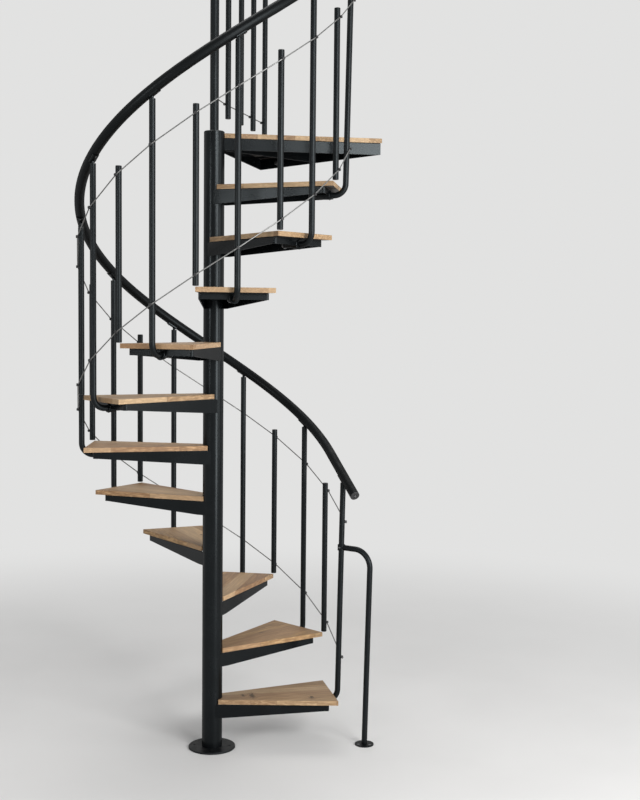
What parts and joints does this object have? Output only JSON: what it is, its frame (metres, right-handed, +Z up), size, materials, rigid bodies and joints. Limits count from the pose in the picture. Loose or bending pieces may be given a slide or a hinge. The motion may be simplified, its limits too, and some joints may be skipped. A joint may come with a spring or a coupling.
{
  "type": "spiral staircase",
  "caption": "Spiral staircase: round steel column with tapered oak treads on bent brackets, bent-tube balusters, taut cables, a helical handrail and a triangular landing.",
  "frame": {"origin": "axis of the column at floor level, on the underside of the base plate", "axes": "+Z up along the column; +X from the column to the landing's outer edge, square to the floor slab's edge; the flight climbs counter-clockwise seen from above"},
  "size_m": [1.2352, 1.1844, 3.7029],
  "materials": {
    "painted_steel": "satin black powder coat",
    "handrail_black": "satin black, slightly smoother than the frame",
    "oak": "brushed oak, matt oiled",
    "wire_rope": "stranded steel cable",
    "black_plastic": "matt black plastic",
    "zinc_bolts": "dark zinc plated"
  },
  "bodies": {
    "root": {"base_plate": "painted_steel", "column_core": "painted_steel", "column_sleeves": "painted_steel", "column_cap": "painted_steel", "tread_bracket_01": "painted_steel", "wood_tread_01": "oak", "tread_bracket_02": "painted_steel", "wood_tread_02": "oak", "tread_bracket_03": "painted_steel", "wood_tread_03": "oak", "tread_bracket_04": "painted_steel", "wood_tread_04": "oak", "tread_bracket_05": "painted_steel", "wood_tread_05": "oak", "tread_bracket_06": "painted_steel", "wood_tread_06": "oak", "tread_bracket_07": "painted_steel", "wood_tread_07": "oak", "tread_bracket_08": "painted_steel", "wood_tread_08": "oak", "tread_bracket_09": "painted_steel", "wood_tread_09": "oak", "tread_bracket_10": "painted_steel", "wood_tread_10": "oak", "tread_bracket_11": "painted_steel", "wood_tread_11": "oak", "landing_frame": "painted_steel", "landing_board": "oak", "long_balusters": "painted_steel", "short_balusters": "painted_steel", "leg_bolts": "zinc_bolts", "upper_cable": "wire_rope", "lower_cable": "wire_rope", "cable_clips": "black_plastic", "handrail": "handrail_black", "handrail_saddles": "painted_steel", "handrail_caps": "black_plastic", "starter_post": "painted_steel", "landing_post": "painted_steel", "guard_end_post": "painted_steel", "guard_bars": "painted_steel", "guard_cables": "wire_rope", "guard_handrail": "handrail_black", "guard_saddles": "painted_steel"}
  },
  "joints": []
}
